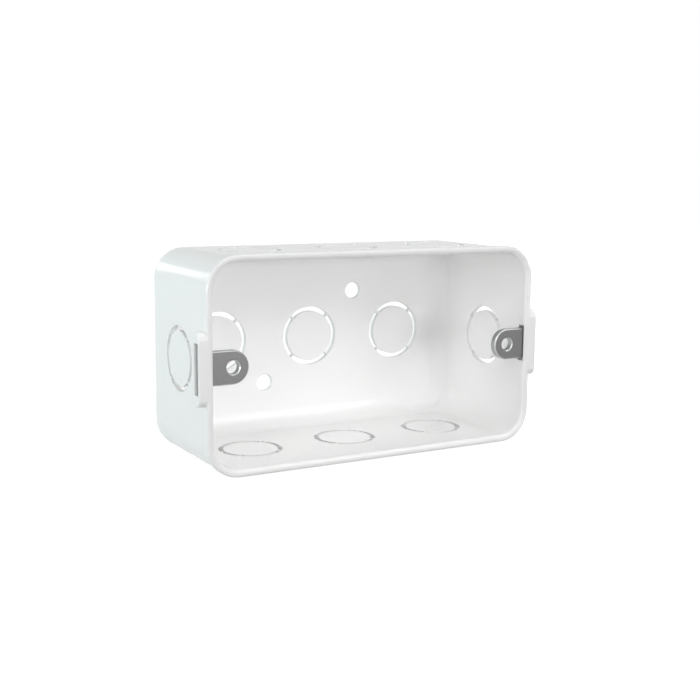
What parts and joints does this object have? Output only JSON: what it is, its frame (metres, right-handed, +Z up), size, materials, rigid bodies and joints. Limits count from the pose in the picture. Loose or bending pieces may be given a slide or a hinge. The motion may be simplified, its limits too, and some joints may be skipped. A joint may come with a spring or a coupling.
{
  "type": "flush wall box",
  "caption": "Rectangular white plastic flush box for a wiring device, open at the front, with rounded corners, round knockouts on thin webs, back fixing holes and steel screw lugs.",
  "frame": {"origin": "centre of the outside of the back", "axes": "+X along the long side, +Y out of the back into the wall, +Z up; the mouth faces -Y"},
  "size_m": [0.1022, 0.0417, 0.055],
  "materials": {
    "white_plastic": "smooth white moulded plastic with a soft gloss",
    "lug_steel": "plain grey plated steel"
  },
  "bodies": {
    "root": {"box_body": "white_plastic", "left_lug": "lug_steel", "right_lug": "lug_steel"}
  },
  "joints": []
}
